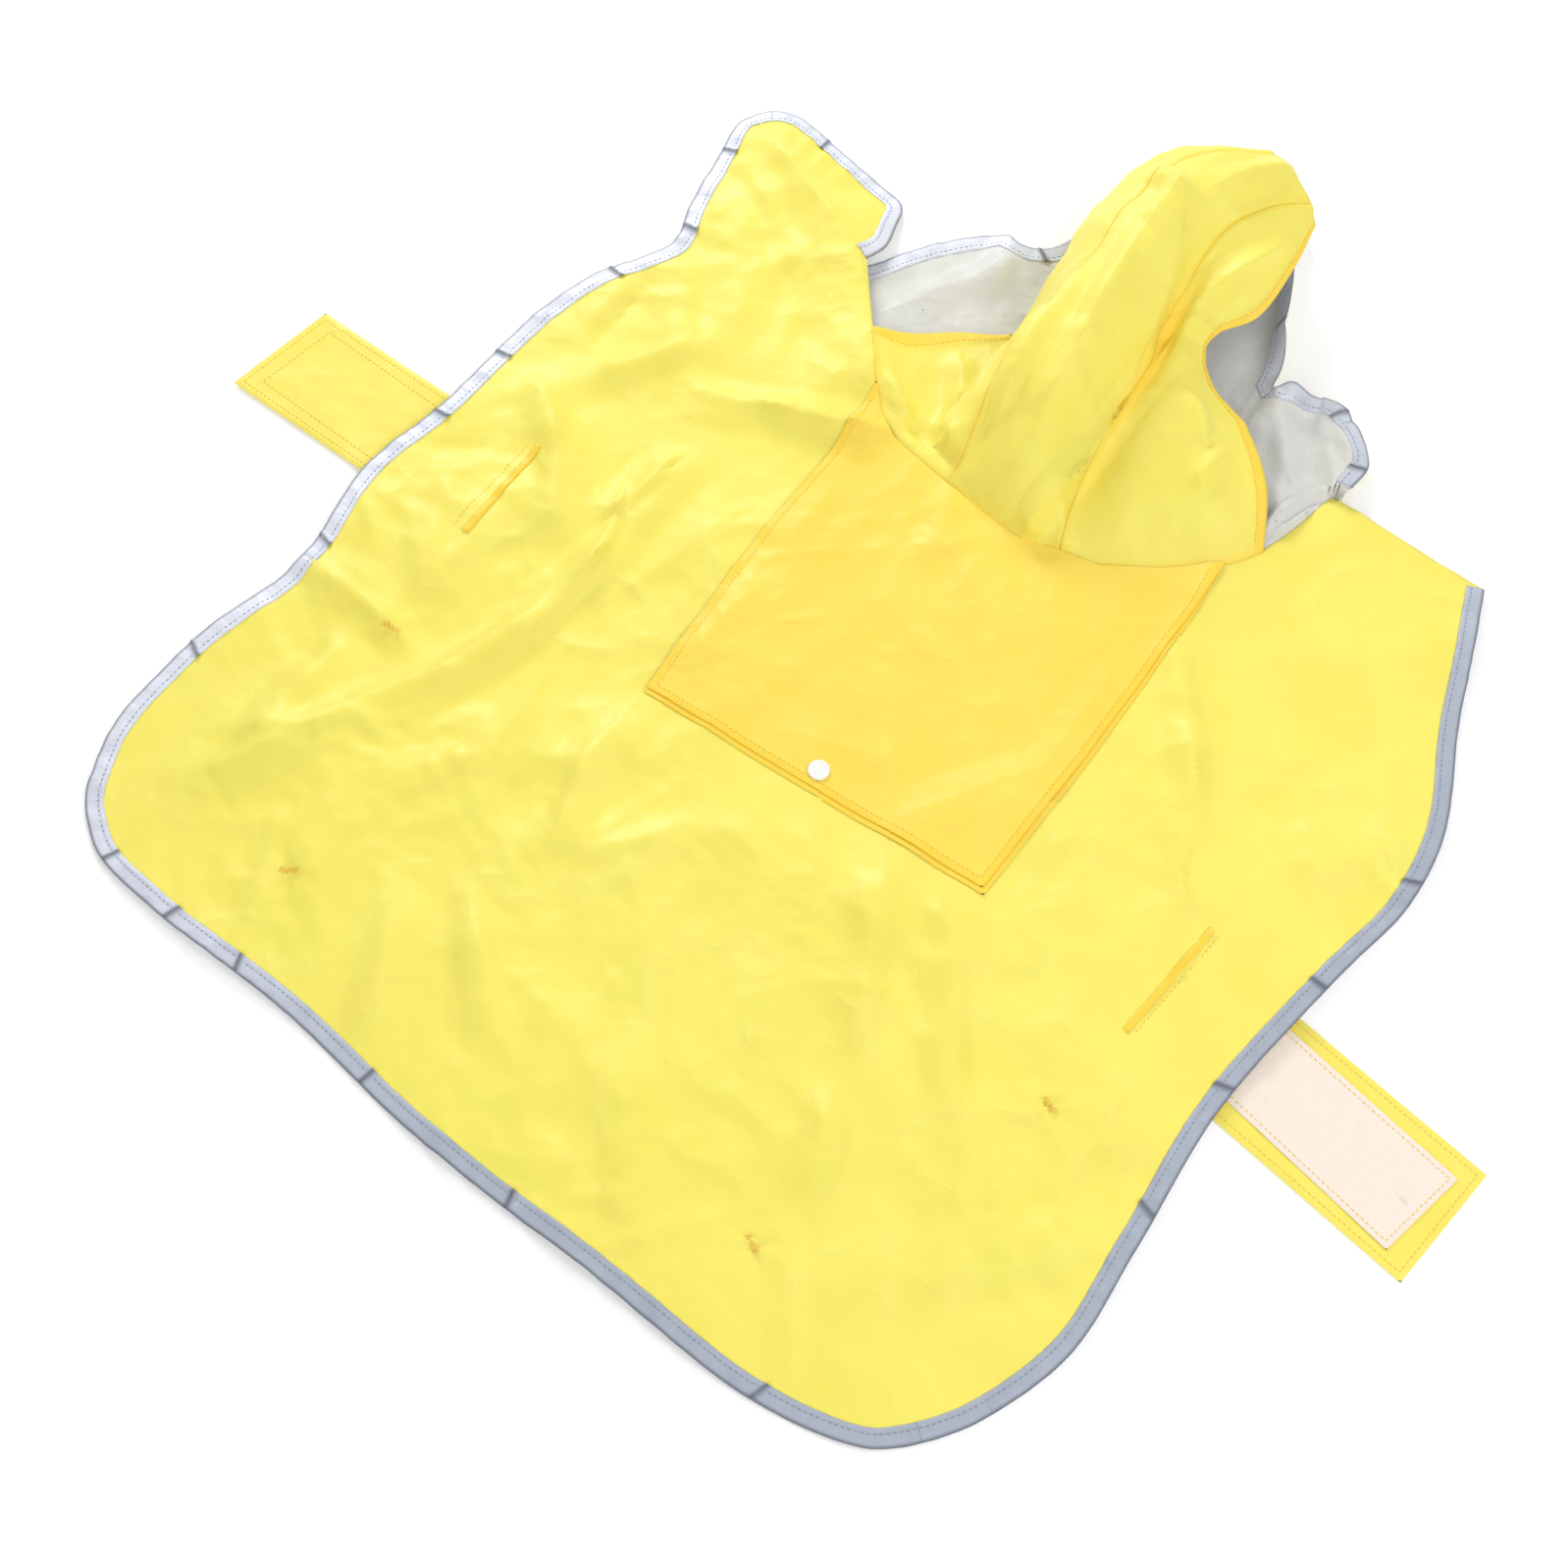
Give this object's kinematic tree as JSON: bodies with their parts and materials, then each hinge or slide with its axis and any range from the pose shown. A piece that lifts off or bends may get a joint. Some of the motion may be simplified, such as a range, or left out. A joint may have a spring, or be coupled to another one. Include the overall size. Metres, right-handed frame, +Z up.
{
  "type": "dog raincoat",
  "caption": "Yellow dog raincoat with hood, back pouch, grey reflective binding and two belly straps with hook and loop tape, laid out flat.",
  "frame": {"origin": "point on the flat underside at the middle of the back, where the cloth lies on the surface", "axes": "+Y toward the head and hood, +X to the coat's right as seen from above, +Z up from the surface"},
  "size_m": [0.816, 0.7668, 0.0679],
  "materials": {
    "yellow_cloth": "thin coated polyester, soft sheen, fine embossing",
    "pouch_cloth": "two layers of the coated yellow polyester",
    "grey_inside": "pale grey waterproof coating, matte",
    "binding": "reflective grey binding tape, satin",
    "tape": "napped hook and loop tape, matte",
    "snap_plastic": "gloss"
  },
  "bodies": {
    "root": {"back_panel": "yellow_cloth", "binding_tail": "binding", "binding_right": "binding", "binding_flap": "binding", "binding_left": "binding", "chest_panel": "grey_inside", "binding_chest_tab": "binding", "binding_chest": "binding", "shoulder_facing": "grey_inside", "pouch_lower": "pouch_cloth", "pouch_upper": "pouch_cloth", "snap_cap": "snap_plastic", "strap_left": "yellow_cloth", "hook_tape": "tape", "strap_right": "yellow_cloth", "loop_tape": "tape", "tuck_left": "pouch_cloth", "tuck_right": "pouch_cloth", "hood_left": "yellow_cloth", "hood_middle": "yellow_cloth", "hood_right": "yellow_cloth"}
  },
  "joints": []
}
